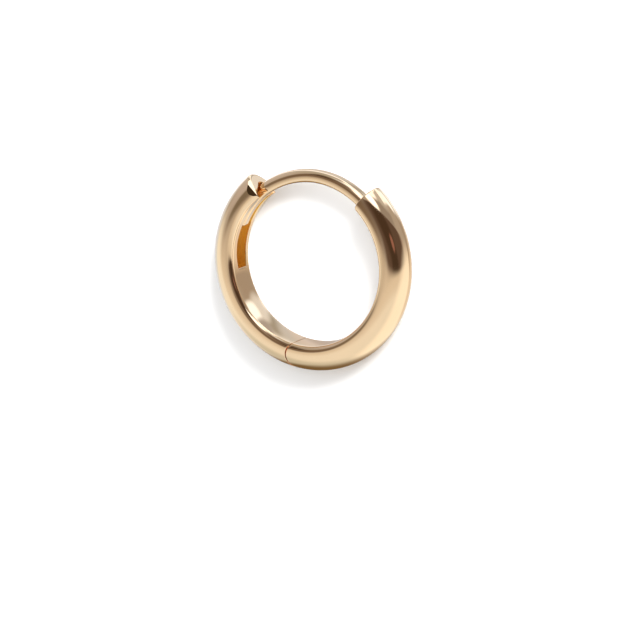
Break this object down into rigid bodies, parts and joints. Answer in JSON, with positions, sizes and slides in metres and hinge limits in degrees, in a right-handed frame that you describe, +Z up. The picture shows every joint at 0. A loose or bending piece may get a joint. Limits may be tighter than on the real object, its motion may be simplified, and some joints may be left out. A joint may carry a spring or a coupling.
{
  "type": "hinged huggie hoop earring",
  "caption": "Small polished gold hinged hoop earring with a half-round band, a thin curved ear post and a snap channel, lying on its side.",
  "frame": {"origin": "middle of the whole hoop's footprint, on the surface that it lies on; the ring's axis stands 0.45 mm from it towards +Y", "axes": "+Z up along the ring's axis, out of the side that faces the viewer; +Y across the hoop from the hinge towards the ear post; +X from the catch arc towards the arc that carries the post"},
  "size_m": [0.013, 0.0121, 0.0022],
  "materials": {
    "polished_gold": "high polish yellow gold",
    "pin_gold": "plain drawn gold wire"
  },
  "bodies": {
    "catch_side": {"catch_half": "polished_gold"},
    "post_side": {"post_half": "polished_gold", "hinge_pin": "pin_gold"}
  },
  "joints": [
    {"name": "hoop_hinge", "type": "hinge", "parent": "catch_side", "child": "post_side", "pos_m": [-0.0012, -0.00507, 0.00112], "axis": [0, 0, -1], "range_deg": [0, 45]}
  ]
}
